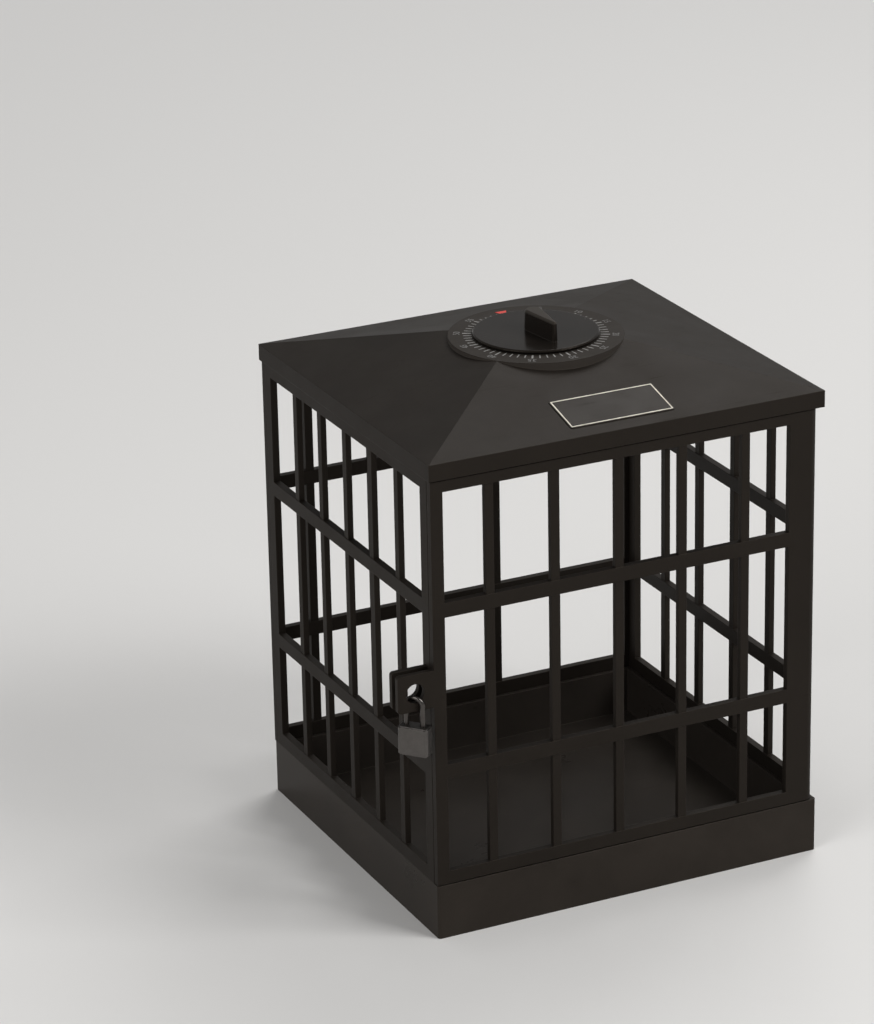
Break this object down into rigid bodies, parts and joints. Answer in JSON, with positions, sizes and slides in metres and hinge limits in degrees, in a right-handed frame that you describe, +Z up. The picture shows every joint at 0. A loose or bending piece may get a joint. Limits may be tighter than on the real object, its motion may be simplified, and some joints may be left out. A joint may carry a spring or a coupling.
{
  "type": "phone jail",
  "caption": "Barred desk cage that locks a phone away, with a hinged door, a hasp and padlock, and a wind-up timer knob on its hip roof",
  "frame": {"origin": "middle of the base tray's underside", "axes": "+Z is up, the door faces -Y, and the hasp and padlock are at -X beside the door's free edge"},
  "size_m": [0.1642, 0.1431, 0.1959],
  "materials": {
    "cage_plastic": "satin moulded charcoal",
    "knob_plastic": "fine grain, black",
    "bright_steel": "satin",
    "wheel_brass": "satin",
    "lock_metal": "satin dark grey"
  },
  "bodies": {
    "cage": {"base_tray": "cage_plastic", "left_panel": "cage_plastic", "right_panel": "cage_plastic", "back_panel": "cage_plastic", "roof": "cage_plastic", "timer_case": "cage_plastic", "timer_screws": "bright_steel", "top_plate": "bright_steel", "bottom_plate": "bright_steel", "plate_pillars": "wheel_brass", "mainspring": "bright_steel", "gong": "bright_steel"},
    "door": {"door": "cage_plastic"},
    "dial": {"timer_knob": "knob_plastic", "dial_arbor": "bright_steel", "main_wheel": "wheel_brass"},
    "second": {"second_wheel": "wheel_brass"},
    "escape": {"escape_wheel": "wheel_brass"},
    "balance": {"balance": "wheel_brass"},
    "hammer": {"hammer": "bright_steel"},
    "padlock": {"padlock_body": "lock_metal"},
    "shackle": {"padlock_shackle": "bright_steel"},
    "plug": {"padlock_plug": "wheel_brass"}
  },
  "joints": [
    {"name": "door_hinge", "type": "hinge", "parent": "cage", "child": "door", "pos_m": [0.071, -0.0664, 0.0945], "axis": [0, 0, 1], "range_deg": [0, 110]},
    {"name": "dial_turn", "type": "hinge", "parent": "cage", "child": "dial", "pos_m": [0, 0, 0.18], "axis": [0, 0, 1], "range_deg": [-170, 180]},
    {"name": "second_turn", "type": "hinge", "parent": "cage", "child": "second", "pos_m": [0.015, 0, 0.177], "axis": [0, 0, 1], "continuous": true},
    {"name": "escape_turn", "type": "hinge", "parent": "cage", "child": "escape", "pos_m": [0.01698, 0.00929, 0.177], "axis": [0, 0, 1], "continuous": true},
    {"name": "balance_rock", "type": "hinge", "parent": "cage", "child": "balance", "pos_m": [0.00988, 0.0169, 0.177], "axis": [0, 0, 1], "range_deg": [-22, 22]},
    {"name": "hammer_swing", "type": "hinge", "parent": "cage", "child": "hammer", "pos_m": [-0.01547, -0.01298, 0.177], "axis": [0, 0, 1], "range_deg": [0, 12]},
    {"name": "padlock_swing", "type": "hinge", "parent": "door", "child": "padlock", "pos_m": [-0.082, -0.068, 0.094], "axis": [0, 1, 0], "range_deg": [-5, 60]},
    {"name": "shackle_rise", "type": "slide", "parent": "padlock", "child": "shackle", "axis": [0, 0, 1], "range_m": [0, 0.0032]},
    {"name": "plug_turn", "type": "hinge", "parent": "padlock", "child": "plug", "pos_m": [-0.082, -0.068, 0.0742], "axis": [0, 0, 1], "range_deg": [0, 90]}
  ],
  "couplings": [
    {"joint": "second_turn", "follows": "dial_turn", "ratio": -4},
    {"joint": "escape_turn", "follows": "dial_turn", "ratio": 15}
  ]
}
